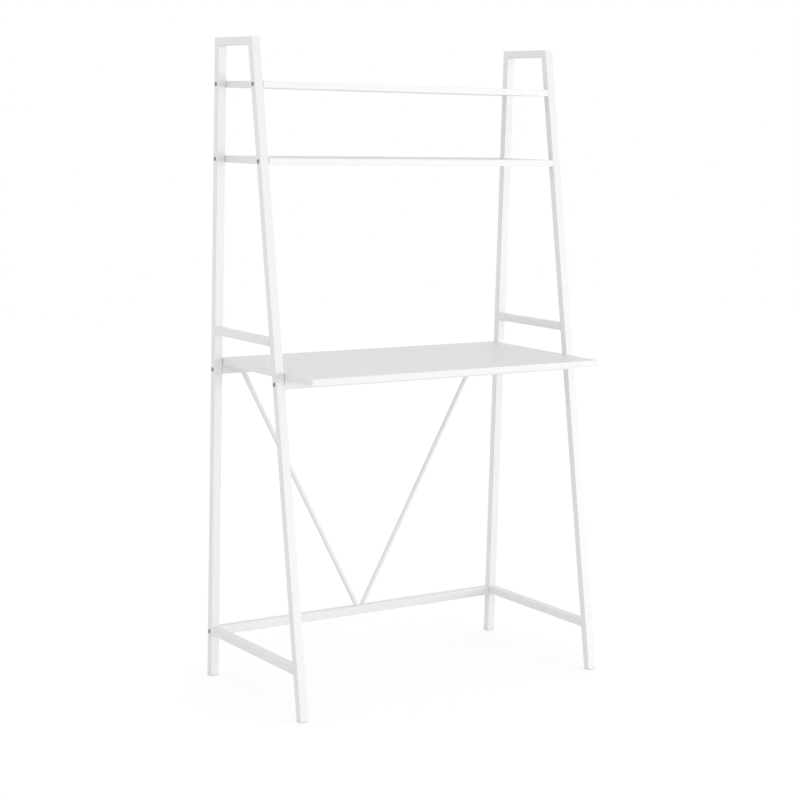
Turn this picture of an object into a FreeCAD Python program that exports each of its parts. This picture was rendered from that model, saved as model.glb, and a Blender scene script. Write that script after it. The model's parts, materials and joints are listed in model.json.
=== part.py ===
import FreeCAD
import Part

import os

doc = FreeCAD.newDocument("LadderDesk")

# Driving dimensions: lengths in millimetres, leans in degrees, shares as plain fractions
driving_sizes = {
    # the whole desk
    "overall_width": 840,
    "overall_height": 1490,
    "foot_depth": 430,
    "front_lean_angle": 9.5,
    "back_lean_angle": 0.5,
    # the steel tube that every frame is made of
    "tube_width": 22,
    "tube_depth": 18,
    "tube_wall": 1.2,
    "tube_inner_corner": 0.8,
    # where the tops of the boards and rails lie: above the floor, below the top of
    # the desk, below the other shelf, and above the desktop
    "desk_height": 760,
    "stretcher_height": 119,
    "upper_shelf_drop": 96,
    "shelf_spacing": 168,
    "side_rail_rise": 74,
    # the three boards
    "desk_thickness": 15,
    "shelf_thickness": 15,
    "desk_setback": 8,
    "board_gap": 0.3,
    "band_thickness": 1,
    "band_rounding": 0.6,
    # the two brace rods
    "rod_diameter": 12,
    "rod_inset": 62,
    "rod_foot_share": 0.62,
    # the plugs between the upper and the lower frames
    "plug_reach": 45,
    "plug_wall": 1.5,
    "plug_clearance": 0.2,
    # the feet
    "foot_thickness": 3,
    "foot_plug_height": 16,
    "foot_clearance": 0.2,
    # the bolts in the outer faces of the legs
    "bolt_diameter": 6,
    "bolt_head_diameter": 10,
    "bolt_head_height": 1.6,
    "bolt_crown_share": 0.62,
    "bolt_rim_share": 0.4,
    "bolt_socket_width": 4,
    "bolt_socket_depth": 2,
    "bolt_reach": 12,
    "bolt_clearance": 0.3,
    # what the bolts screw into
    "insert_diameter": 10,
    "insert_clearance": 0.1,
    "end_nut_clearance": 0.2,
    "thread_spare": 2,
    # the screws that hold the desktop on its rails
    "screw_diameter": 4,
    "screw_head_diameter": 8,
    "screw_head_height": 2.4,
    "screw_socket_width": 2.5,
    "screw_socket_depth": 1.4,
    "screw_reach_share": 0.65,
    "screw_clearance": 0.3,
    "screw_spread_share": 0.62,
    # how far cutting shapes run past what they cut
    "overrun": 20,
}

sheet = doc.addObject("Spreadsheet::Sheet", "sizes")
for row, (alias, value) in enumerate(driving_sizes.items(), start=1):
    sheet.set(f"A{row}", alias)
    sheet.set(f"B{row}", str(value))
    sheet.setAlias(f"B{row}", alias)
doc.recompute()

X_AXIS = FreeCAD.Vector(1, 0, 0)
Y_AXIS = FreeCAD.Vector(0, 1, 0)
Z_AXIS = FreeCAD.Vector(0, 0, 1)
ORIGIN = FreeCAD.Vector(0, 0, 0)

# Lengths that several pieces share, as formulas on the sheet
half_width = "sizes.overall_width / 2"
inner_half = f"({half_width} - sizes.tube_width)"
front_turn = "(sizes.front_lean_angle * 1 deg)"
back_turn = "(sizes.back_lean_angle * 1 deg)"
front_run = f"(sizes.tube_depth / cos{front_turn})"
back_run = f"(sizes.tube_depth / cos{back_turn})"
bore_width = "(sizes.tube_width - 2 * sizes.tube_wall)"
bore_depth = "(sizes.tube_depth - 2 * sizes.tube_wall)"
desk_underside = "(sizes.desk_height - sizes.desk_thickness)"
rail_underside = f"({desk_underside} - sizes.tube_width)"
rail_middle = f"({desk_underside} - sizes.tube_width / 2)"
stretcher_middle = "(sizes.stretcher_height - sizes.tube_width / 2)"
side_rail_top = "(sizes.desk_height + sizes.side_rail_rise)"
upper_shelf_top = "(sizes.overall_height - sizes.upper_shelf_drop)"
lower_shelf_top = f"({upper_shelf_top} - sizes.shelf_spacing)"
upper_shelf_middle = f"({upper_shelf_top} - sizes.shelf_thickness / 2)"
lower_shelf_middle = f"({lower_shelf_top} - sizes.shelf_thickness / 2)"
bolt_radius = "(sizes.bolt_diameter / 2)"
thread_length = "(sizes.bolt_reach + sizes.thread_spare)"
screw_reach = "(sizes.desk_thickness * sizes.screw_reach_share)"
bolt_bore_radius = f"({bolt_radius} + sizes.bolt_clearance)"


def front_face(height):
    # Y of the front legs' front face at a height
    return f"(-sizes.foot_depth / 2 + ({height}) * tan{front_turn})"


def back_face(height):
    # Y of the back legs' back face at a height
    return f"(sizes.foot_depth / 2 - ({height}) * tan{back_turn})"


def front_middle(height):
    return f"({front_face(height)} + {front_run} / 2)"


def back_middle(height):
    return f"({back_face(height)} - {back_run} / 2)"


def bind(item, formulas):
    for path, formula in formulas.items():
        item.setExpression(path, formula)
    return item


def place(item, x="0", y="0", z="0", axis=X_AXIS, turn="0"):
    # the first angle only fixes the axis, and the formula then sets the real one
    item.Placement = FreeCAD.Placement(ORIGIN, FreeCAD.Rotation(axis, 1))
    return bind(item, {
        "Placement.Base.x": x,
        "Placement.Base.y": y,
        "Placement.Base.z": z,
        "Placement.Rotation.Angle": turn,
    })


def box(name, length, width, height, **where):
    item = doc.addObject("Part::Box", name)
    bind(item, {"Length": length, "Width": width, "Height": height})
    return place(item, **where)


def cylinder(name, radius, height, **where):
    item = doc.addObject("Part::Cylinder", name)
    bind(item, {"Radius": radius, "Height": height})
    return place(item, **where)


def cone(name, low_radius, high_radius, height, **where):
    item = doc.addObject("Part::Cone", name)
    bind(item, {"Radius1": low_radius, "Radius2": high_radius, "Height": height})
    return place(item, **where)


def hexagon(name, width, height, **where):
    # a six-sided bar, measured across its flats
    item = doc.addObject("Part::Prism", name)
    item.Polygon = 6
    bind(item, {"Circumradius": f"{width} / 2 / cos(30 deg)", "Height": height})
    return place(item, **where)


def combine(kind, name, base, tool):
    item = doc.addObject(kind, name)
    item.Base = base
    item.Tool = tool
    return item


def cut(name, base, tool):
    return combine("Part::Cut", name, base, tool)


def common(name, base, tool):
    return combine("Part::Common", name, base, tool)


def fuse(name, base, tool):
    return combine("Part::Fuse", name, base, tool)


def group(name, items):
    item = doc.addObject("Part::Compound", name)
    item.Links = items
    return item


def mirrored(name, source):
    # the same piece on the other side of the desk
    item = doc.addObject("Part::Mirroring", name)
    item.Source = source
    item.Normal = X_AXIS
    item.Base = ORIGIN
    return item


def long_edges(feature):
    # names of the four edges along Z that lie nearest the middle of the section
    bounds = feature.Shape.BoundBox

    def offset(edge):
        middle = edge.CenterOfMass - bounds.Center
        return max(abs(middle.x) / bounds.XLength, abs(middle.y) / bounds.YLength)

    along = [
        (offset(edge), number)
        for number, edge in enumerate(feature.Shape.Edges, start=1)
        if edge.BoundBox.ZLength > bounds.ZLength / 2
    ]
    return [f"Edge{number}" for _, number in sorted(along)[:4]]


def rounded(body, base, edges, radius):
    fillet = body.newObject("PartDesign::Fillet", "rounding")
    fillet.Base = (base, edges)
    bind(fillet, {"Radius": radius})
    doc.recompute()


def bar(name, width, depth, length, corner, wall=None, **where):
    # a straight bar along its own Z with rounded long edges, hollow if it has a wall
    body = doc.addObject("PartDesign::Body", name)
    stock = body.newObject("PartDesign::AdditiveBox", "stock")
    bind(stock, {"Length": width, "Width": depth, "Height": length})
    doc.recompute()
    rounded(body, stock, long_edges(stock), f"{corner} + {wall}" if wall else corner)
    if wall:
        bore = body.newObject("PartDesign::SubtractiveBox", "bore")
        bind(bore, {
            "Length": f"{width} - 2 * {wall}",
            "Width": f"{depth} - 2 * {wall}",
            "Height": length,
            "Placement.Base.x": wall,
            "Placement.Base.y": wall,
        })
        doc.recompute()
        rounded(body, bore, long_edges(bore), corner)
    return place(body, **where)


def tube(name, length, **where):
    return bar(name, "sizes.tube_width", "sizes.tube_depth", length,
               "sizes.tube_inner_corner", "sizes.tube_wall", **where)


def slab(name, low, high):
    # everything between two heights
    return box(
        name,
        "sizes.overall_width + 2 * sizes.overrun",
        "sizes.foot_depth + 2 * sizes.overrun",
        f"({high}) - ({low})",
        x=f"-{half_width} - sizes.overrun",
        y="-sizes.foot_depth / 2 - sizes.overrun",
        z=low,
    )


def cross_hole(name, y, z, radius=bolt_bore_radius):
    # a hole along X, right through one side frame
    return cylinder(
        name,
        radius,
        "sizes.tube_width + 2 * sizes.overrun",
        x=f"-{half_width} - sizes.overrun",
        y=y,
        z=z,
        axis=Y_AXIS,
        turn="90",
    )


# Heights at which the side frames are cut into their lengths
lower_slab = slab("lower_slab", "sizes.foot_thickness", "sizes.desk_height")
upper_slab = slab("upper_slab", "sizes.desk_height", "sizes.overall_height")
foot_slab = slab("foot_slab", "0", "sizes.foot_thickness")
foot_plug_top = "sizes.foot_thickness + sizes.foot_plug_height"
foot_plug_slab = slab("foot_plug_slab", "sizes.foot_thickness", foot_plug_top)
plug_slab = slab("plug_slab", "sizes.desk_height - sizes.plug_reach", "sizes.desk_height + sizes.plug_reach")

front_leg_length = f"(sizes.overall_height / cos{front_turn} + 2 * sizes.overrun)"
back_leg_length = f"(sizes.overall_height / cos{back_turn} + 2 * sizes.overrun)"


def front_stock(name, width, depth, corner, wall=None, inset="0"):
    # a bar that leans back along the front legs, set in from the legs' faces
    return bar(
        name, width, depth, front_leg_length, corner, wall,
        x=f"-{half_width} + {inset}",
        y=f"{front_face('0')} - sizes.overrun * sin{front_turn} + ({inset}) * cos{front_turn}",
        z=f"-sizes.overrun * cos{front_turn} - ({inset}) * sin{front_turn}",
        turn="-sizes.front_lean_angle",
    )


def back_stock(name, width, depth, corner, wall=None, inset="0"):
    # a bar that leans forward along the back legs, set in from the legs' faces
    setback = f"(sizes.tube_depth - ({inset}))"
    return bar(
        name, width, depth, back_leg_length, corner, wall,
        x=f"-{half_width} + {inset}",
        y=f"{back_face('0')} + sizes.overrun * sin{back_turn} - {setback} * cos{back_turn}",
        z=f"-sizes.overrun * cos{back_turn} - {setback} * sin{back_turn}",
        turn="sizes.back_lean_angle",
    )


tube_section = ("sizes.tube_width", "sizes.tube_depth", "sizes.tube_inner_corner", "sizes.tube_wall")
tube_outside = ("sizes.tube_width", "sizes.tube_depth", "sizes.tube_inner_corner + sizes.tube_wall")

# Where each bolt sits on the left side frame: on the front or the back leg, and how high
bolt_spots = {
    "upper_shelf_front": (front_middle, upper_shelf_middle),
    "upper_shelf_back": (back_middle, upper_shelf_middle),
    "lower_shelf_front": (front_middle, lower_shelf_middle),
    "lower_shelf_back": (back_middle, lower_shelf_middle),
    "front_rail": (front_middle, rail_middle),
    "back_rail": (back_middle, rail_middle),
    "back_stretcher": (back_middle, stretcher_middle),
}


def bolt_place(spot):
    middle, height = bolt_spots[spot]
    return {"y": middle(height), "z": height}


def bolt_hole(owner, spot):
    return cross_hole(f"{owner}_{spot}_hole", **bolt_place(spot))


def with_holes(name, base, spots):
    return cut(name, base, group(f"{name}_holes", [bolt_hole(name, spot) for spot in spots]))


# The mitres where the posts meet the top bar: planes through the outer top corners
mitre_reach = "(2 * sizes.tube_depth + 2 * sizes.overrun)"
mitre_length = "sizes.tube_width + 2 * sizes.overrun"
mitre_x = f"-{half_width} - sizes.overrun"
front_mitre = "((45 + sizes.front_lean_angle / 2) * 1 deg)"
back_mitre = "((45 + sizes.back_lean_angle / 2) * 1 deg)"
front_top = front_face("sizes.overall_height")
back_top = back_face("sizes.overall_height")


def front_mitre_box(name, drop):
    return box(
        name, mitre_length, mitre_reach, mitre_reach,
        x=mitre_x,
        y=f"{front_top} - sizes.overrun * cos{front_mitre} - {drop} * sin{front_mitre}",
        z=f"sizes.overall_height + sizes.overrun * sin{front_mitre} - {drop} * cos{front_mitre}",
        turn="-(45 + sizes.front_lean_angle / 2)",
    )


def back_mitre_box(name, drop):
    along = f"({mitre_reach} - sizes.overrun)"
    return box(
        name, mitre_length, mitre_reach, mitre_reach,
        x=mitre_x,
        y=f"{back_top} - {along} * cos{back_mitre} + {drop} * sin{back_mitre}",
        z=f"sizes.overall_height - {along} * sin{back_mitre} - {drop} * cos{back_mitre}",
        turn="45 + sizes.back_lean_angle / 2",
    )


# Left side frame: legs and posts
nodes = {}

front_lower = common("left_front_leg_blank", front_stock("left_front_leg_stock", *tube_section), lower_slab)
nodes["left_lower_front_leg"] = with_holes("left_lower_front_leg", front_lower, ["front_rail"])

back_lower = common("left_back_leg_blank", back_stock("left_back_leg_stock", *tube_section), lower_slab)
nodes["left_lower_back_leg"] = with_holes("left_lower_back_leg", back_lower, ["back_rail", "back_stretcher"])

front_upper = common("left_front_post_blank", front_stock("left_front_post_stock", *tube_section), upper_slab)
front_upper = cut("left_front_post_mitred", front_upper, front_mitre_box("front_post_mitre", "0"))
nodes["left_upper_front_post"] = with_holes(
    "left_upper_front_post", front_upper, ["upper_shelf_front", "lower_shelf_front"])

back_upper = common("left_back_post_blank", back_stock("left_back_post_stock", *tube_section), upper_slab)
back_upper = cut("left_back_post_mitred", back_upper, back_mitre_box("back_post_mitre", "0"))
nodes["left_upper_back_post"] = with_holes(
    "left_upper_back_post", back_upper, ["upper_shelf_back", "lower_shelf_back"])


# Left side frame: the tubes that run from front to back
def side_tube(name, top):
    # runs a little past the outer faces of the legs, and is trimmed afterwards
    return tube(
        name,
        f"{back_face(top)} - {front_face(top)} + 2 * sizes.overrun",
        x=f"-{half_width}",
        y=f"{front_face(top)} - sizes.overrun",
        z=top,
        turn="-90",
    )


def between_legs(name, base):
    # trims a side tube to the inner faces of the leaning legs
    front_block = box(
        f"{name}_front_trim", mitre_length, "sizes.tube_depth + 2 * sizes.overrun", front_leg_length,
        x=mitre_x,
        y=f"{front_face('0')} - 2 * sizes.overrun * cos{front_turn} - sizes.overrun * sin{front_turn}",
        z=f"2 * sizes.overrun * sin{front_turn} - sizes.overrun * cos{front_turn}",
        turn="-sizes.front_lean_angle",
    )
    back_block = box(
        f"{name}_back_trim", mitre_length, "sizes.tube_depth + 2 * sizes.overrun", back_leg_length,
        x=mitre_x,
        y=f"{back_face('0')} + sizes.overrun * sin{back_turn} - sizes.tube_depth * cos{back_turn}",
        z=f"-sizes.overrun * cos{back_turn} - sizes.tube_depth * sin{back_turn}",
        turn="sizes.back_lean_angle",
    )
    return cut(name, base, group(f"{name}_trims", [front_block, back_block]))


nodes["left_side_stretcher"] = between_legs(
    "left_side_stretcher", side_tube("left_side_stretcher_stock", "sizes.stretcher_height"))
nodes["left_side_rail"] = between_legs(
    "left_side_rail", side_tube("left_side_rail_stock", side_rail_top))

top_bar = side_tube("left_top_bar_stock", "sizes.overall_height")
top_bar_trims = group("left_top_bar_trims", [
    front_mitre_box("front_bar_mitre", mitre_reach),
    back_mitre_box("back_bar_mitre", mitre_reach),
])
nodes["left_top_bar"] = cut("left_top_bar", top_bar, top_bar_trims)

# Plugs that the upper posts stand on, inside the tops of the legs
plug_inset = "(sizes.tube_wall + sizes.plug_clearance)"
plug_section = (
    f"({bore_width} - 2 * sizes.plug_clearance)",
    f"({bore_depth} - 2 * sizes.plug_clearance)",
    "sizes.tube_inner_corner",
    "sizes.plug_wall",
)
for side, stock, rail in (("front", front_stock, "front_rail"), ("back", back_stock, "back_rail")):
    plug_stock = stock(f"left_{side}_plug_stock", *plug_section, inset=plug_inset)
    blank = common(f"left_{side}_plug_blank", plug_stock, plug_slab)
    nodes[f"left_{side}_plug"] = with_holes(f"left_{side}_plug", blank, [rail])

# Feet: a sole as wide as the tube, and a plug that holds it in the leg
foot_inset = "(sizes.tube_wall + sizes.foot_clearance)"
foot_plug_section = (
    f"({bore_width} - 2 * sizes.foot_clearance)",
    f"({bore_depth} - 2 * sizes.foot_clearance)",
    "sizes.tube_inner_corner",
)
for side, stock in (("front", front_stock), ("back", back_stock)):
    sole = common(f"left_{side}_sole", stock(f"left_{side}_sole_stock", *tube_outside), foot_slab)
    peg_stock = stock(f"left_{side}_peg_stock", *foot_plug_section, inset=foot_inset)
    peg = common(f"left_{side}_peg", peg_stock, foot_plug_slab)
    nodes[f"left_{side}_foot"] = fuse(f"left_{side}_foot", sole, peg)

# Right side frame: the left one over again
for left_name in list(nodes):
    right_name = left_name.replace("left_", "right_")
    nodes[right_name] = mirrored(right_name, nodes[left_name])


# Rails between the side frames
def cross_tube(name, y, top):
    return tube(
        name,
        f"2 * {inner_half}",
        x=f"-{inner_half}",
        y=f"{y} - sizes.tube_depth / 2",
        z=top,
        axis=Y_AXIS,
        turn="90",
    )


screw_spots = {"left": "-1", "middle": "0", "right": "1"}


def screw_place(y, side):
    return {"x": f"{screw_spots[side]} * sizes.screw_spread_share * {inner_half}", "y": y}


def screw_hole(name, y, side):
    return cylinder(
        f"{name}_{side}_screw_hole",
        "sizes.screw_diameter / 2 + sizes.screw_clearance",
        f"{desk_underside} + {screw_reach} - {rail_underside}",
        z=rail_underside,
        **screw_place(y, side),
    )


def screw_head(name, y, side):
    # countersunk, so that it lies flush with the underside of the rail
    return cone(
        f"{name}_{side}_screw_head",
        "sizes.screw_head_diameter / 2",
        "sizes.screw_diameter / 2",
        "sizes.screw_head_height",
        z=rail_underside,
        **screw_place(y, side),
    )


def screw(name, y, side, head):
    shank = cylinder(
        f"{name}_{side}_screw_shank",
        "sizes.screw_diameter / 2",
        f"{desk_underside} + {screw_reach} - {rail_underside}",
        z=rail_underside,
        **screw_place(y, side),
    )
    socket = hexagon(
        f"{name}_{side}_screw_socket",
        "sizes.screw_socket_width",
        "sizes.screw_socket_depth + sizes.overrun",
        z=f"{rail_underside} - sizes.overrun",
        **screw_place(y, side),
    )
    return cut(f"{name}_{side}_screw", fuse(f"{name}_{side}_screw_body", head, shank), socket)


front_rail_y = front_middle(rail_middle)
back_rail_y = back_middle(rail_middle)
stretcher_y = back_middle(stretcher_middle)
desk_screw_holes = []
desk_screws = []
for name, y in (("front_rail", front_rail_y), ("back_rail", back_rail_y)):
    holes = [screw_hole(name, y, side) for side in screw_spots]
    heads = [screw_head(name, y, side) for side in screw_spots]
    desk_screw_holes += holes
    desk_screws += [screw(name, y, side, head) for side, head in zip(screw_spots, heads)]
    rail_stock = cross_tube(f"{name}_stock", y, desk_underside)
    drilled = cut(f"{name}_drilled", rail_stock, group(f"{name}_screw_holes", holes))
    nodes[name] = cut(name, drilled, group(f"{name}_screw_seats", heads))
nodes["desktop_screws"] = group("desktop_screws", desk_screws)
nodes["back_stretcher"] = cross_tube("back_stretcher", stretcher_y, "sizes.stretcher_height")

# Brace rods in a V, from the back rail to the middle of the back stretcher
rod_slab = slab("rod_slab", "sizes.stretcher_height", rail_underside)
rod_rise = f"({rail_underside} - sizes.stretcher_height)"
rod_top_x = f"({inner_half} - sizes.rod_inset)"
rod_foot_x = "(sizes.rod_diameter * sizes.rod_foot_share)"
rod_lean = f"atan2({rod_top_x} - {rod_foot_x}; {rod_rise})"
rod_stock = cylinder(
    "left_rod_stock",
    "sizes.rod_diameter / 2",
    f"{rod_rise} / cos({rod_lean}) + 2 * sizes.overrun",
    x=f"-{rod_foot_x} + sizes.overrun * sin({rod_lean})",
    y=f"({back_rail_y} + {stretcher_y}) / 2",
    z=f"sizes.stretcher_height - sizes.overrun * cos({rod_lean})",
    axis=Y_AXIS,
    turn=f"-{rod_lean}",
)
nodes["left_brace_rod"] = common("left_brace_rod", rod_stock, rod_slab)
nodes["right_brace_rod"] = mirrored("right_brace_rod", nodes["left_brace_rod"])

# Boards, with a band on each edge
board_half = f"({inner_half} - sizes.board_gap)"


def board(name, front, back, top, thickness):
    # the core is smaller by the bands on its edges, so the board keeps its size
    band = "sizes.band_thickness"
    left = f"-{board_half}"
    width = f"2 * {board_half}"
    depth = f"({back} - {front} - 2 * {band})"
    core = box(
        f"{name}_core", f"{width} - 2 * {band}", depth, thickness,
        x=f"{left} + {band}", y=f"{front} + {band}", z=f"{top} - {thickness}")
    edges = {
        "front": (width, left, front, "0"),
        "back": (width, board_half, back, "180"),
        "left": (depth, left, f"{back} - {band}", "-90"),
        "right": (depth, board_half, f"{front} + {band}", "90"),
    }
    for edge, (length, x, y, turn) in edges.items():
        edge_band(f"{name}_{edge}_band", length, thickness, x, y, top, turn)
    return core


def edge_band(name, length, thickness, x, y, z, turn):
    # a strip along its own X, with its two outer long edges rounded
    body = doc.addObject("PartDesign::Body", f"{name}_strip")
    strip = body.newObject("PartDesign::AdditiveBox", "strip")
    bind(strip, {
        "Length": length,
        "Width": "sizes.band_thickness",
        "Height": thickness,
        "Placement.Base.z": f"-{thickness}",
    })
    doc.recompute()
    bounds = strip.Shape.BoundBox
    outer_edges = [
        f"Edge{number}"
        for number, edge in enumerate(strip.Shape.Edges, start=1)
        if edge.BoundBox.YMax < bounds.Center.y
        and edge.BoundBox.XLength > bounds.XLength / 2
    ]
    rounded(body, strip, outer_edges, "sizes.band_rounding")
    nodes[name] = place(body, x=x, y=y, z=z, axis=Z_AXIS, turn=turn)


desk_core = board(
    "desktop",
    "(-sizes.foot_depth / 2 + sizes.desk_setback)",
    back_face("sizes.desk_height"),
    "sizes.desk_height",
    "sizes.desk_thickness",
)
nodes["desktop"] = cut("desktop", desk_core, group("desktop_screw_pilots", desk_screw_holes))

insert_bore = "(sizes.insert_diameter / 2 + sizes.insert_clearance)"
shelf_inserts = []
shelf_heights = {
    "upper_shelf": (upper_shelf_top, upper_shelf_middle),
    "lower_shelf": (lower_shelf_top, lower_shelf_middle),
}
for shelf, (top, middle) in shelf_heights.items():
    core = board(shelf, front_face(middle), back_face(middle), top, "sizes.shelf_thickness")
    left_holes = []
    for side in ("front", "back"):
        spot = bolt_place(f"{shelf}_{side}")
        seat = {"x": f"-{board_half}", "axis": Y_AXIS, "turn": "90", **spot}
        left_holes.append(cylinder(f"{shelf}_{side}_insert_hole", insert_bore, thread_length, **seat))
        sleeve = cylinder(f"{shelf}_{side}_sleeve", "sizes.insert_diameter / 2", thread_length, **seat)
        thread = cross_hole(f"{shelf}_{side}_thread", **spot)
        shelf_inserts.append(cut(f"{shelf}_{side}_insert", sleeve, thread))
    left_group = group(f"{shelf}_left_holes", left_holes)
    right_group = mirrored(f"{shelf}_right_holes", left_group)
    nodes[shelf] = cut(shelf, core, group(f"{shelf}_insert_holes", [left_group, right_group]))
    for side, holes in (("left", left_group), ("right", right_group)):
        band = f"{shelf}_{side}_band"
        nodes[band] = cut(band, nodes[band], holes)


def both_sides(name, left_items):
    left_group = group(f"{name}_left", left_items)
    nodes[name] = group(name, [left_group, mirrored(f"{name}_right", left_group)])


both_sides("shelf_inserts", shelf_inserts)

# Threaded nuts in the ends of the rails and the back stretcher
end_nuts = []
for rail, y in (("front_rail", front_rail_y), ("back_rail", back_rail_y), ("back_stretcher", stretcher_y)):
    spot = bolt_place(rail)
    blank = bar(
        f"{rail}_end_nut_stock",
        f"({bore_width} - 2 * sizes.end_nut_clearance)",
        f"({bore_depth} - 2 * sizes.end_nut_clearance)",
        thread_length,
        "sizes.tube_inner_corner",
        x=f"-{inner_half}",
        y=f"{y} - {bore_depth} / 2 + sizes.end_nut_clearance",
        z=f"{spot['z']} + {bore_width} / 2 - sizes.end_nut_clearance",
        axis=Y_AXIS,
        turn="90",
    )
    end_nuts.append(cut(f"{rail}_end_nut", blank, cross_hole(f"{rail}_end_nut_thread", **spot)))
both_sides("rail_end_nuts", end_nuts)


# Bolts: a low crowned head with a hexagon socket, outside the legs
def bolt(spot, reach):
    seat = {"axis": Y_AXIS, "turn": "90", **bolt_place(spot)}
    head_x = f"-{half_width} - sizes.bolt_head_height"
    rim = "(sizes.bolt_head_height * sizes.bolt_rim_share)"
    head_radius = "(sizes.bolt_head_diameter / 2)"
    crown = cone(
        f"{spot}_bolt_crown", f"{head_radius} * sizes.bolt_crown_share", head_radius,
        f"sizes.bolt_head_height - {rim}", x=head_x, **seat)
    collar = cylinder(f"{spot}_bolt_collar", head_radius, rim, x=f"-{half_width} - {rim}", **seat)
    shank = cylinder(
        f"{spot}_bolt_shank", bolt_radius, f"sizes.tube_width + {reach}", x=f"-{half_width}", **seat)
    body = fuse(f"{spot}_bolt_body", fuse(f"{spot}_bolt_head", crown, collar), shank)
    socket = hexagon(
        f"{spot}_bolt_socket", "sizes.bolt_socket_width", "sizes.bolt_socket_depth + sizes.overrun",
        x=f"{head_x} - sizes.overrun", **seat)
    return cut(f"{spot}_bolt", body, socket)


shelf_reach = "(sizes.board_gap + sizes.bolt_reach)"
both_sides("shelf_bolts", [
    bolt(f"{shelf}_{side}", shelf_reach)
    for shelf in ("upper_shelf", "lower_shelf")
    for side in ("front", "back")
])
both_sides("rail_bolts", [bolt(rail, "sizes.bolt_reach") for rail in ("front_rail", "back_rail")])
both_sides("stretcher_bolts", [bolt("back_stretcher", "sizes.bolt_reach")])

doc.recompute()

# Every object and every sub-part has to be sound before anything is written
for item in doc.Objects:
    if "Invalid" in item.State or "Error" in item.State:
        raise RuntimeError(f"{item.Name} did not build: {item.State}")
for name, item in nodes.items():
    if item.Shape.isNull() or not item.Shape.isValid() or not item.Shape.Solids:
        raise RuntimeError(f"{name} has no sound solid")

os.makedirs("parts", exist_ok=True)
for name, item in nodes.items():
    item.Label = name
    item.Shape.exportStep(f"parts/{name}.step")
    print(f"{name}: {len(item.Shape.Solids)} solid(s), {item.Shape.Volume:.0f} mm3")

desk = Part.makeCompound([item.Shape for item in nodes.values()]).optimalBoundingBox()
print(f"the whole desk: {desk.XLength:.1f} wide, {desk.YLength:.1f} deep, {desk.ZLength:.1f} high, in mm")
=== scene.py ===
import json
import math

import bpy
import numpy as np
from mathutils import Matrix, Vector


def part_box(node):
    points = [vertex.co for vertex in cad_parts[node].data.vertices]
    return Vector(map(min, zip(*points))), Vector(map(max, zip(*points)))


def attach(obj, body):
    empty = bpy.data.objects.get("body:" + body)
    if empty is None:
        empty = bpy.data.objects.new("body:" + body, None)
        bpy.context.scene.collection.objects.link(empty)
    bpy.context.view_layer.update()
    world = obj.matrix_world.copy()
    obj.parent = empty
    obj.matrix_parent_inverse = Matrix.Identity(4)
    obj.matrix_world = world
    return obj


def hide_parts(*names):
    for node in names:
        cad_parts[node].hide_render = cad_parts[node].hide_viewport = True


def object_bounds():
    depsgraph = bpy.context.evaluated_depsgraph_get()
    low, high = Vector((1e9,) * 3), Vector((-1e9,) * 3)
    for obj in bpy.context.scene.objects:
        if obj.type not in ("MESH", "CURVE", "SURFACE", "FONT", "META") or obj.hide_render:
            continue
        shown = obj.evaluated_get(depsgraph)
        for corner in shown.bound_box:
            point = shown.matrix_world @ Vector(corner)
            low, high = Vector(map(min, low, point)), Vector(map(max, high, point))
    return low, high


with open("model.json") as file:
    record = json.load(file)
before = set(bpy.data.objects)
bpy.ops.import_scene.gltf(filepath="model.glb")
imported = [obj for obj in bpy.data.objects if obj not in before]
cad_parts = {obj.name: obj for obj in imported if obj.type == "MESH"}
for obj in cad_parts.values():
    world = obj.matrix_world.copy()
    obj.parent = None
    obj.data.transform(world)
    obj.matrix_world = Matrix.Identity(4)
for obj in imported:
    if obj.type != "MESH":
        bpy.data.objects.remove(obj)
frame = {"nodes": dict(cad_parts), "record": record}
nodes = frame["nodes"]
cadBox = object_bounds()
mm = 0.001  # the scene is in metres
print("frame loaded,", len(nodes), "nodes")


# Colour and node helpers

def linearColour(hexText):
    # sRGB hex to linear light, each channel by the sRGB curve, with full alpha
    parts = [int(hexText[i:i + 2], 16) / 255 for i in (1, 3, 5)]
    return [c / 12.92 if c <= 0.04045 else ((c + 0.055) / 1.055) ** 2.4 for c in parts] + [1.0]


def addNode(tree, kind, sockets=None, **settings):
    # a socket takes either a plain value or the output that feeds it
    node = tree.nodes.new("ShaderNode" + kind)
    for name, value in settings.items():
        setattr(node, name, value)
    for name, value in (sockets or {}).items():
        if isinstance(value, bpy.types.NodeSocket):
            tree.links.new(value, node.inputs[name])
        else:
            node.inputs[name].default_value = value
    return node


def startMaterial(name):
    material = bpy.data.materials.new(name)
    material.use_nodes = True
    tree = material.node_tree
    return material, tree, tree.nodes["Principled BSDF"]


noiseDetail = {"drift": 3.0, "grain": 2.0}  # layers of each noise
mixFactor, mixFirst, mixSecond, mixResult = 0, 6, 7, 2  # the Mix node's sockets for colours


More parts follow.
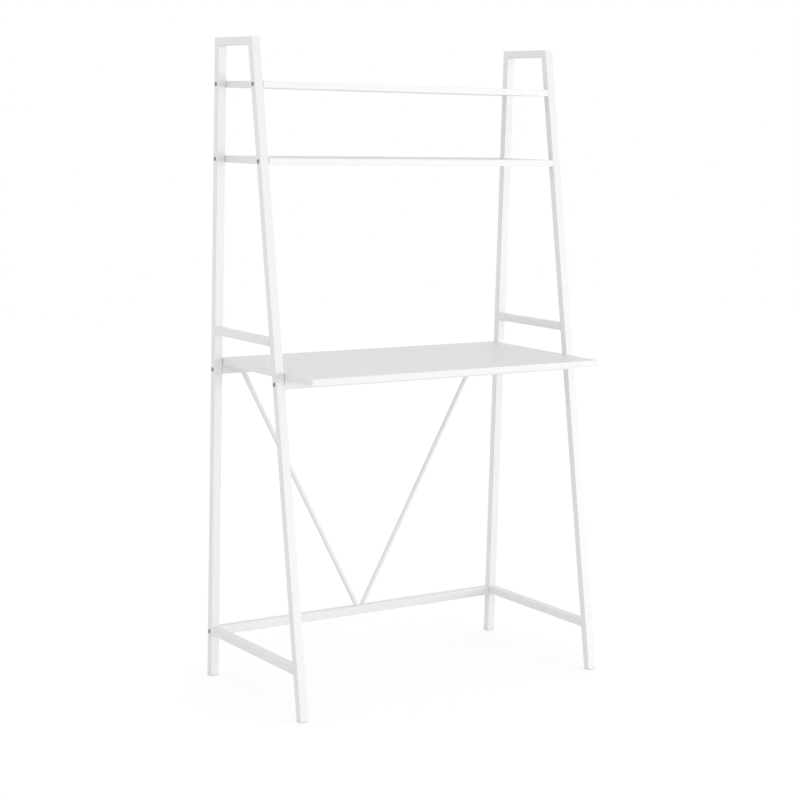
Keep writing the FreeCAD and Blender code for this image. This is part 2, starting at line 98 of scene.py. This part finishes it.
def surfaceLook(name, look):
    # Shared by all finishes: a slow drift between two close tints, and a grain that moves the gloss,
    # raises a shallow relief and has painted shade in its pits. Relief alone hardly shows in light
    # as soft as the photo's, so the pits' shade is painted into the colour. Sizes in look are millimetres.
    material, tree, shader = startMaterial(name)
    place = addNode(tree, "TexCoord").outputs["Object"]
    stretch = addNode(tree, "Mapping", {"Vector": place, "Scale": look["stretch"]}).outputs["Vector"]
    drift = addNode(tree, "TexNoise", {"Vector": place, "Scale": 1 / (look["drift"] * mm),
                                       "Detail": noiseDetail["drift"]})
    grain = addNode(tree, "TexNoise", {"Vector": stretch, "Scale": 1 / (look["grain"] * mm),
                                       "Detail": noiseDetail["grain"]})
    tint = addNode(tree, "Mix", {mixFactor: drift.outputs["Fac"], mixFirst: linearColour(look["pale"]),
                                 mixSecond: linearColour(look["deep"])}, data_type="RGBA")
    # painted shade: the grain's low spots fade towards the darker pit tint, standing in for the shade in
    # its hollows
    pitShadeMask = addNode(tree, "MapRange", {"Value": grain.outputs["Fac"], "From Min": look["pitShadeRange"][0],
                                      "From Max": look["pitShadeRange"][1], "To Min": 1.0, "To Max": 0.0})
    colour = addNode(tree, "Mix", {mixFactor: pitShadeMask.outputs["Result"], mixFirst: tint.outputs[mixResult],
                                   mixSecond: linearColour(look["pitShadeTint"])}, data_type="RGBA")
    gloss = addNode(tree, "MapRange", {"Value": grain.outputs["Fac"], "To Min": look["rough"][0],
                                       "To Max": look["rough"][1]})
    relief = addNode(tree, "Bump", {"Height": grain.outputs["Fac"], "Strength": look["relief"],
                                    "Distance": look["height"] * mm})
    tree.links.new(colour.outputs[mixResult], shader.inputs["Base Color"])
    tree.links.new(gloss.outputs["Result"], shader.inputs["Roughness"])
    tree.links.new(relief.outputs["Normal"], shader.inputs["Normal"])
    shader.inputs["IOR"].default_value = look["ior"]
    shader.inputs["Metallic"].default_value = look["metal"]
    return material


# Finishes. The two metals keep the default IOR.

# in each look, the pit tint and its range paint the shade that falls in the grain's pits
powderLook = {
    "pale": "#F0F0F0", "deep": "#ECECEC", "pitShadeTint": "#E9E9E9", "pitShadeRange": (0.28, 0.55),
    "drift": 220, "grain": 2.2, "stretch": (1, 1, 1),
    "rough": (0.34, 0.48), "relief": 0.6, "height": 0.1, "ior": 1.5, "metal": 0.0,
}
laminateLook = {
    "pale": "#ECECEC", "deep": "#E8E8E8", "pitShadeTint": "#E0E0E0", "pitShadeRange": (0.28, 0.55),
    "drift": 160, "grain": 1.5, "stretch": (1, 1, 1),
    "rough": (0.3, 0.44), "relief": 0.6, "height": 0.06, "ior": 1.5, "metal": 0.0,
}
bandLook = {
    "pale": "#F0F0F0", "deep": "#ECECEC", "pitShadeTint": "#EAEAEA", "pitShadeRange": (0.28, 0.55),
    "drift": 90, "grain": 1.2, "stretch": (0.04, 0.04, 1),
    "rough": (0.38, 0.48), "relief": 0.4, "height": 0.03, "ior": 1.53, "metal": 0.0,
}
footLook = {
    "pale": "#E7E7E6", "deep": "#E1E1E0", "pitShadeTint": "#D8D8D7", "pitShadeRange": (0.28, 0.55),
    "drift": 12, "grain": 0.9, "stretch": (1, 1, 1),
    "rough": (0.5, 0.64), "relief": 0.5, "height": 0.05, "ior": 1.49, "metal": 0.0,
}
boltLook = {
    "pale": "#9FA0A2", "deep": "#939497", "pitShadeTint": "#85868A", "pitShadeRange": (0.28, 0.5),
    "drift": 6, "grain": 0.7, "stretch": (1, 1, 1),
    "rough": (0.38, 0.52), "relief": 0.3, "height": 0.02, "ior": 1.5, "metal": 1.0,
}
zincLook = {
    "pale": "#C3C6C8", "deep": "#AEB2B5", "pitShadeTint": "#A2A6A9", "pitShadeRange": (0.28, 0.5),
    "drift": 9, "grain": 1.1, "stretch": (1, 1, 1),
    "rough": (0.26, 0.42), "relief": 0.3, "height": 0.02, "ior": 1.5, "metal": 1.0,
}

finishes = {
    # polyester powder baked on steel tube: satin white, with an orange peel of about 2 mm that softens
    # reflections
    "powder_coat": surfaceLook("white powder coat", powderLook),
    # melamine paper pressed on chipboard: flat white with a pearl grain, drawn three times as coarse
    # as the real one so that it shows
    "board": surfaceLook("white melamine laminate", laminateLook),
    # extruded ABS strip: a little duller than the board, with faint lines along its length, drawn
    # wider than the die leaves them so that they show
    "edge_band": surfaceLook("white ABS edge band", bandLook),
    # moulded polypropylene: dull off-white with a spark-eroded grain, drawn coarse enough to show
    "foot_plastic": surfaceLook("white moulded polypropylene", footLook),
    # dull zinc on cold-headed steel: grey metal with a soft shine, darker than all around it
    "bolt_steel": surfaceLook("dull zinc plated steel", boltLook),
    # bright zinc on steel: pale metal with cloudy spangle
    "zinc_steel": surfaceLook("bright zinc plated steel", zincLook),
}
for part in frame["record"]["subparts"]:
    piece = nodes[part["node"]]
    piece.data.materials.clear()
    piece.data.materials.append(finishes[part["material_slot"]])
print("finishes set,", len(finishes))


# Surface helpers

def closedSweep(rings, loop=False):
    # Rings of points, each joined to the next. A loop joins the last to the first, and otherwise
    # a fan on the middle of each end ring closes it. The faces are turned to look outwards.
    count, around = rings.shape[:2]
    i, j = np.meshgrid(np.arange(count if loop else count - 1), np.arange(around), indexing="ij")
    k, nextRing = (j + 1) % around, (i + 1) % count
    quads = np.stack([i * around + j, i * around + k, nextRing * around + k, nextRing * around + j], -1)
    points, quads = rings.reshape(-1, 3), quads.reshape(-1, 4)
    triangles = np.zeros((0, 3), int)
    if not loop:
        j = np.arange(around)
        k, last = (j + 1) % around, (count - 1) * around
        first, final = np.full(around, len(points)), np.full(around, len(points) + 1)
        triangles = np.concatenate([np.stack([first, k, j], -1), np.stack([final, last + j, last + k], -1)])
        points = np.concatenate([points, [rings[0].mean(0)], [rings[-1].mean(0)]])
    halves = np.concatenate([triangles, quads[:, :3], quads[:, [0, 2, 3]]])
    a, b, c = points[halves].transpose(1, 0, 2)
    if np.einsum("ij,ij->", a, np.cross(b, c)) < 0:
        triangles, quads = triangles[:, ::-1], quads[:, ::-1]
    return points, quads.tolist() + triangles.tolist()


def addPiece(name, sweeps, slotName, replaced=()):
    # all the sweeps of one kind as one smooth mesh that stands with the frame
    points, faces, start = [], [], 0
    for sweepPoints, sweepFaces in sweeps:
        points.append(sweepPoints)
        faces += [[corner + start for corner in face] for face in sweepFaces]
        start += len(sweepPoints)
    mesh = bpy.data.meshes.new(name)
    mesh.from_pydata(np.concatenate(points).tolist(), [], faces)
    mesh.polygons.foreach_set("use_smooth", np.ones(len(faces), bool))
    mesh.materials.append(finishes[slotName])
    piece = bpy.data.objects.new(name, mesh)
    bpy.context.collection.objects.link(piece)
    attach(piece, "root")
    if replaced:
        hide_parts(*replaced)
    print(name, "built,", len(faces), "faces")


endSlice = 0.1 * mm  # points as near as this to an end's height belong to that end


def tubeEnds(name):
    # the points of a tube's or rod's lower and upper ends, and the heights of both
    mesh = nodes[name].data
    points = np.empty(len(mesh.vertices) * 3)
    mesh.vertices.foreach_get("co", points)
    points = points.reshape(-1, 3)
    low, high = points[:, 2].min(), points[:, 2].max()
    return points[points[:, 2] < low + endSlice], points[points[:, 2] > high - endSlice], low, high


def legLine(name):
    # Front and back faces of a leaning leg as straight lines, y = start + slope * z, from its two ends
    foot, head, low, high = tubeEnds(name)
    slope = (head[:, 1].min() - foot[:, 1].min()) / (high - low)
    return {"slope": slope, "front": foot[:, 1].min() - slope * low, "back": foot[:, 1].max() - slope * low}


frontLeg, backLeg = legLine("left_lower_front_leg"), legLine("left_lower_back_leg")
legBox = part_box("left_lower_front_leg")
outerX, innerX = -legBox[0].x, -legBox[1].x


def legMiddle(leg, height):
    # y of the leg's centre line at a height
    return (leg["front"] + leg["back"]) / 2 + leg["slope"] * height


# Bolts with low crowned heads and hexagon sockets

boltShape = {
    "shankRadius": 3.0, "shankLength": 34.0, "tipBevel": 0.8,
    "headRadius": 5.0, "headHeight": 1.6, "rim": 0.5, "edge": 0.15,
    "socketFlats": 4.0, "socketDepth": 2.0, "lip": 0.2, "floorShare": 0.8,
    "around": 48, "crownSteps": 10,
}


def boltRings():
    # A surface of revolution: (radius, distance out of the leg) down the profile, turned round the axis.
    # The crown is a quarter ellipse, and the socket's rings take a hexagon's radius, which is half the
    # width across flats over the cosine of the angle from the nearest flat.
    s = boltShape
    rise = np.linspace(0, np.pi / 2, s["crownSteps"])
    lipRadius = s["socketFlats"] / 2 / np.cos(np.pi / 6) + s["lip"]
    crownRadius = lipRadius + (s["headRadius"] - lipRadius) * np.cos(rise)
    crownOut = s["rim"] + (s["headHeight"] - s["rim"]) * np.sin(rise)
    floor = s["headHeight"] - s["socketDepth"]
    hexShares = np.array([1, 1, s["floorShare"]])  # the socket's rings: mouth, wall and floor
    radius = np.concatenate([
        [s["shankRadius"] - s["tipBevel"], s["shankRadius"], s["shankRadius"]],
        [s["headRadius"] - s["edge"], s["headRadius"]], crownRadius, 0 * hexShares])
    out = np.concatenate([
        [-s["shankLength"], s["tipBevel"] - s["shankLength"], 0],
        [0, s["edge"]], crownOut, [s["headHeight"] - s["lip"], floor + s["lip"], floor]])
    sixSided = np.concatenate([np.zeros(len(radius) - len(hexShares)), hexShares])
    angle = np.arange(s["around"]) * 2 * np.pi / s["around"]
    hexagon = s["socketFlats"] / 2 / np.cos(angle % (np.pi / 3) - np.pi / 6)
    reach = radius[:, None] + sixSided[:, None] * hexagon
    rings = np.stack([out[:, None] + 0 * angle, reach * np.cos(angle), reach * np.sin(angle)], -1)
    return rings * mm


def boltAt(side, leg, height):
    # side is -1 on the left and 1 on the right
    rings = boltRings()
    spot = np.array([side * outerX, legMiddle(leg, height), height])
    return closedSweep(rings * [side, 1, 1] + spot)


def middleHeight(name):
    low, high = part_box(name)
    return (low.z + high.z) / 2


shelfHeights = [middleHeight("upper_shelf"), middleHeight("lower_shelf")]
boltPlaces = {
    "shelf_bolts": [(leg, height) for leg in (frontLeg, backLeg) for height in shelfHeights],
    "rail_bolts": [(frontLeg, middleHeight("front_rail")), (backLeg, middleHeight("back_rail"))],
    "stretcher_bolts": [(backLeg, middleHeight("back_stretcher"))],
}
for node, places in boltPlaces.items():
    sweeps = [boltAt(side, leg, height) for side in (-1, 1) for leg, height in places]
    addPiece("crowned_" + node, sweeps, "bolt_steel", [node])


# Feet: a sole with rounded edges, and the ribbed plug that holds it in the tube

footShape = {
    "corner": 2.0, "leastCorner": 0.6, "floorEdge": 0.9, "seamEdge": 0.35, "wall": 1.4,
    "ribs": 4, "ribDepth": 0.25, "plugTop": 19.0, "plugSteps": 33, "cornerSteps": 7,
}


def footAt(side, leg, sole):
    # The leg's own section, a rectangle with quarter-circle corners, drawn in by an inset that changes
    # with the height: quarter circles at the sole's two edges, then a sine of ribs up the plug.
    s = footShape
    turn = np.linspace(0, np.pi / 2, s["cornerSteps"])
    lower = np.stack([s["floorEdge"] * (1 - np.cos(turn)), s["floorEdge"] * (1 - np.sin(turn))], -1)
    upper = np.stack([sole - s["seamEdge"] * (1 - np.sin(turn)), s["seamEdge"] * (1 - np.cos(turn))], -1)
    climb = np.linspace(0, 1, s["plugSteps"])
    ribs = s["wall"] + s["ribDepth"] * np.sin(np.pi * s["ribs"] * climb) ** 2
    plug = np.stack([sole + (s["plugTop"] - sole) * climb, ribs], -1)
    height, inset = np.concatenate([lower, upper, plug]).T
    halfX = (outerX - innerX) / mm / 2 - inset
    halfY = (leg["back"] - leg["front"]) / mm / 2 - inset
    corner = np.maximum(s["corner"] - inset, s["leastCorner"])
    angle = (turn[None, :] + np.arange(4)[:, None] * np.pi / 2).ravel()
    signX = np.repeat([1, -1, -1, 1], len(turn))
    signY = np.repeat([1, 1, -1, -1], len(turn))
    x = (halfX - corner)[:, None] * signX + corner[:, None] * np.cos(angle)
    y = (halfY - corner)[:, None] * signY + corner[:, None] * np.sin(angle)
    z = height[:, None] + 0 * angle
    middle = np.array([side * (outerX + innerX) / 2, 0, 0])
    rings = np.stack([x, y, z], -1) * mm + middle
    rings[..., 1] += legMiddle(leg, rings[..., 2])
    return closedSweep(rings)


soleTop = legBox[0].z / mm
feet = [footAt(side, leg, soleTop) for side in (-1, 1) for leg in (frontLeg, backLeg)]
addPiece("feet", feet, "foot_plastic",
         ["left_front_foot", "left_back_foot", "right_front_foot", "right_back_foot"])


# Weld beads in the inner corners of the side frames

weldShape = {
    "leg": 3.4, "hollow": 0.6, "sunk": 0.3, "endGap": 1.7, "endShare": 0.04, "swell": 0.35,
    "ripple": 0.1, "pitch": 2.2, "arcSteps": 9, "runSteps": 61,
}


def weldSections(firstStep, secondStep, size, shape):
    # Concave sections, one for each size: a quadratic Bezier from a step up the first face to a step
    # along the second, with its middle drawn towards the corner, closed by a corner sunk in the steel.
    t = np.linspace(0, 1, shape["arcSteps"])[:, None]
    pull = (firstStep + secondStep) * (1 - shape["hollow"]) / 2
    arc = (1 - t) ** 2 * firstStep + 2 * t * (1 - t) * pull + t ** 2 * secondStep
    sink = -(firstStep + secondStep) * shape["sunk"] * mm
    return np.concatenate([size[:, None, None] * arc + sink, 2 * sink], 1)


def cornerWeld(side, legFace, slope, height, along, above):
    # A concave bead along X between the leg's face and the tube's. Its size rises from each end as
    # a low power of a sine and carries a sine of ripples.
    s = weldShape
    corner = np.array([legFace + slope * height, height])
    upLeg = np.array([slope, 1.0]) / np.hypot(slope, 1) * above
    onTube = np.array([along, 0.0])
    run = np.linspace(0, 1, s["runSteps"])
    width = outerX - innerX - 2 * s["endGap"] * mm
    ripples = 1 + s["ripple"] * np.sin(2 * np.pi * run * width / (s["pitch"] * mm))
    rise = np.sin(np.pi * (s["endShare"] + (1 - 2 * s["endShare"]) * run)) ** s["swell"]
    size = s["leg"] * mm * rise * ripples
    steps = [np.broadcast_to(step, (len(run), 1, 2)) for step in (upLeg, onTube)]
    x = side * (innerX + s["endGap"] * mm + width * run)
    yz = corner + weldSections(*steps, size, s)
    rings = np.concatenate([np.broadcast_to(x[:, None, None], yz.shape[:2] + (1,)), yz], -1)
    return closedSweep(rings)


def frameWelds():
    # above and below each level tube, at both legs; the top bar has corners only below it
    sweeps = []
    for side, name in ((-1, "left"), (1, "right")):
        for tube in ("side_stretcher", "side_rail", "top_bar"):
            low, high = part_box(name + "_" + tube)
            edges = [(low.z, -1)] if tube == "top_bar" else [(low.z, -1), (high.z, 1)]
            for height, above in edges:
                sweeps.append(cornerWeld(side, frontLeg["back"], frontLeg["slope"], height, 1.0, above))
                sweeps.append(cornerWeld(side, backLeg["front"], backLeg["slope"], height, -1.0, above))
    return sweeps


addPiece("frame_welds", frameWelds(), "powder_coat")


# Weld rings round the ends of the brace rods

rodWeldShape = {
    "leg": 2.6, "hollow": 0.6, "sunk": 0.3, "ripple": 0.1, "ripples": 22, "around": 132, "arcSteps": 9,
}


def rodWeld(axisStart, axisEnd, radius, height, above):
    # Where a leaning round rod meets a level face, their common line is an ellipse. At each angle round
    # it a concave section runs from a point up the rod to a point out on the face, with a sine of ripples.
    s = rodWeldShape
    lean = (axisEnd - axisStart) / np.linalg.norm(axisEnd - axisStart)
    centre = axisStart + lean * (height - axisStart[2]) / lean[2]
    angle = np.arange(s["around"]) * 2 * np.pi / s["around"]
    level = np.array([-lean[2], 0, lean[0]])
    circle = np.cos(angle)[:, None] * level + np.sin(angle)[:, None] * np.array([0, 1, 0])
    foot = radius * (circle - lean * (circle[:, 2] / lean[2])[:, None])
    outward = foot / np.linalg.norm(foot, axis=1)[:, None]
    upRod = np.broadcast_to(lean * above / abs(lean[2]), foot.shape)
    size = s["leg"] * mm * (1 + s["ripple"] * np.sin(s["ripples"] * angle))
    sections = weldSections(upRod[:, None, :], outward[:, None, :], size, s)
    return closedSweep(centre + foot[:, None, :] + sections, loop=True)


def braceWelds():
    sweeps = []
    for name in ("left_brace_rod", "right_brace_rod"):
        foot, head, low, high = tubeEnds(name)
        start, end = ((p.min(0) + p.max(0)) / 2 for p in (foot, head))
        radius = (foot[:, 1].max() - foot[:, 1].min()) / 2
        sweeps.append(rodWeld(start, end, radius, low, 1.0))
        sweeps.append(rodWeld(start, end, radius, high, -1.0))
    return sweeps


addPiece("brace_welds", braceWelds(), "powder_coat")


# Camera at the photograph's place and angle

shot = {
    "spot": (-2.523, -3.665, 1.324),  # metres, left of the desk and in front of it
    "turn": 34.24,                    # degrees from +Y towards +X
    "dip": 8.47,                      # degrees below the horizon
    "roll": 1.27,
    "lens": 85.8,                     # millimetres
    "sensor": 36.0,                   # millimetres wide
}


def placeCamera():
    # three directions at right angles: ahead from the turn and the dip, then right and up by the roll
    turn, dip, roll = (math.radians(shot[k]) for k in ("turn", "dip", "roll"))
    ahead = Vector((math.sin(turn) * math.cos(dip), math.cos(turn) * math.cos(dip), -math.sin(dip)))
    level = Vector((math.cos(turn), -math.sin(turn), 0))
    above = level.cross(ahead)
    right = level * math.cos(roll) + above * math.sin(roll)
    up = above * math.cos(roll) - level * math.sin(roll)
    data = bpy.data.cameras.new("camera")
    data.sensor_width = shot["sensor"]
    data.lens = shot["lens"]
    camera = bpy.data.objects.new("camera", data)
    facing = Matrix((right, up, -ahead)).transposed().to_4x4()
    camera.matrix_world = Matrix.Translation(shot["spot"]) @ facing
    bpy.context.collection.objects.link(camera)
    bpy.context.scene.camera = camera


placeCamera()
print("camera placed")


# Studio: a white floor, an even white room, a soft light in front and a weaker one behind

studio = {
    "white": "#FFFFFF",
    "floorSize": 14.0,     # metres
    "floorColour": "#F3F3F3",
    "floorRough": 0.9,
    "floorLift": 0.22,     # glow that the camera sees on the floor
    "roomLight": 0.86,     # strength that lights the desk
    "roomSeen": 1.0,       # strength that the camera sees, where 1 is white
}
lights = {                 # metres and watts
    "front light": {"spot": (6.3, -9.0, 1.05), "size": (7.0, 2.0), "power": 310.0},
    "back light": {"spot": (-0.8, 10.8, 1.2), "size": (5.0, 2.0), "power": 120.0},
}


def seenDirectly(tree):
    # 1 for what the camera sees, straight or in a mirror or through glass, and 0 for the light it gives
    path = addNode(tree, "LightPath").outputs
    some = addNode(tree, "Math", {0: path["Is Camera Ray"], 1: path["Is Glossy Ray"]}, operation="MAXIMUM")
    return addNode(tree, "Math", {0: some.outputs[0], 1: path["Is Transmission Ray"]},
                   operation="MAXIMUM").outputs[0]


def layFloor():
    half = studio["floorSize"] / 2
    corners = [(-half, -half, 0), (half, -half, 0), (half, half, 0), (-half, half, 0)]
    mesh = bpy.data.meshes.new("floor")
    mesh.from_pydata(corners, [], [(0, 1, 2, 3)])
    floor = bpy.data.objects.new("floor", mesh)
    bpy.context.collection.objects.link(floor)
    material, tree, shader = startMaterial("white studio floor")
    shader.inputs["Base Color"].default_value = linearColour(studio["floorColour"])
    shader.inputs["Roughness"].default_value = studio["floorRough"]
    shader.inputs["Emission Color"].default_value = linearColour(studio["white"])
    glow = addNode(tree, "Math", {0: seenDirectly(tree), 1: studio["floorLift"]}, operation="MULTIPLY")
    tree.links.new(glow.outputs[0], shader.inputs["Emission Strength"])
    mesh.materials.append(material)


def lightRoom():
    world = bpy.data.worlds.new("white room")
    bpy.context.scene.world = world
    world.use_nodes = True
    tree = world.node_tree
    backdrop = tree.nodes["Background"]
    backdrop.inputs["Color"].default_value = linearColour(studio["white"])
    strength = addNode(tree, "MapRange", {"Value": seenDirectly(tree), "To Min": studio["roomLight"],
                                          "To Max": studio["roomSeen"]})
    tree.links.new(strength.outputs["Result"], backdrop.inputs["Strength"])


def hangLight(name, spot, size, power):
    # an area light that faces the middle of the desk
    data = bpy.data.lights.new(name, "AREA")
    data.shape = "RECTANGLE"
    data.size, data.size_y = size
    data.energy = power
    lamp = bpy.data.objects.new(name, data)
    lamp.location = spot
    middle = (cadBox[0] + cadBox[1]) / 2
    lamp.rotation_euler = (middle - Vector(spot)).to_track_quat("-Z", "Y").to_euler()
    bpy.context.collection.objects.link(lamp)


layFloor()
lightRoom()
for lightName, light in lights.items():
    hangLight(lightName, **light)
bpy.context.scene.view_settings.view_transform = "Standard"
print("studio lit")
